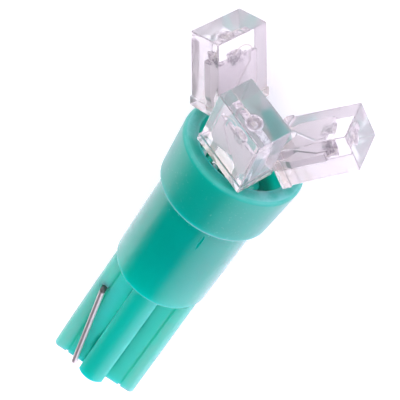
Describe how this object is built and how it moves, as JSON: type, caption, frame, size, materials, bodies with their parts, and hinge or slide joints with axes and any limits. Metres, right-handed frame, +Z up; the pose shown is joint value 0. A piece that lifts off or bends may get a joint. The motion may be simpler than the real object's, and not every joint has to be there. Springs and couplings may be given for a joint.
{
  "type": "wedge led bulb",
  "caption": "Miniature wedge-base bulb: hollow round housing with a wider collar, flat wedge with folded contact wires, and splayed clear rectangular LEDs.",
  "frame": {"origin": "on the floor, under the middle of the object's bounding box", "axes": "+Z up from the floor the bulb lies on; +X along the bulb, from the wedge's tip towards the LEDs, 4.5 degrees off the bulb's own axis"},
  "size_m": [0.0226, 0.0094, 0.0075],
  "materials": {
    "housing_plastic": "moulded teal green plastic, gloss with fine waves",
    "clear_epoxy": "water-clear cast epoxy, polished",
    "contact_wire": "tinned wire, satin",
    "tinned_lead": "tinned lead frame, satin",
    "solder": "smooth solder",
    "bond_wire": "fine gold wire",
    "led_chip": "die",
    "resistor_body": "lacquered resistor body"
  },
  "bodies": {
    "root": {"housing": "housing_plastic", "contact_wire_near": "contact_wire", "contact_wire_far": "contact_wire", "resistor": "resistor_body", "resistor_lead": "tinned_lead", "led_a_lens": "clear_epoxy", "led_a_cathode": "tinned_lead", "led_a_anode": "tinned_lead", "led_a_chip": "led_chip", "led_a_bond_wire": "bond_wire", "led_b_lens": "clear_epoxy", "led_b_cathode": "tinned_lead", "led_b_anode": "tinned_lead", "led_b_chip": "led_chip", "led_b_bond_wire": "bond_wire", "led_c_lens": "clear_epoxy", "led_c_cathode": "tinned_lead", "led_c_anode": "tinned_lead", "led_c_chip": "led_chip", "led_c_bond_wire": "bond_wire", "solder_ab": "solder", "solder_bc": "solder", "solder_ar": "solder", "solder_cw": "solder"}
  },
  "joints": []
}
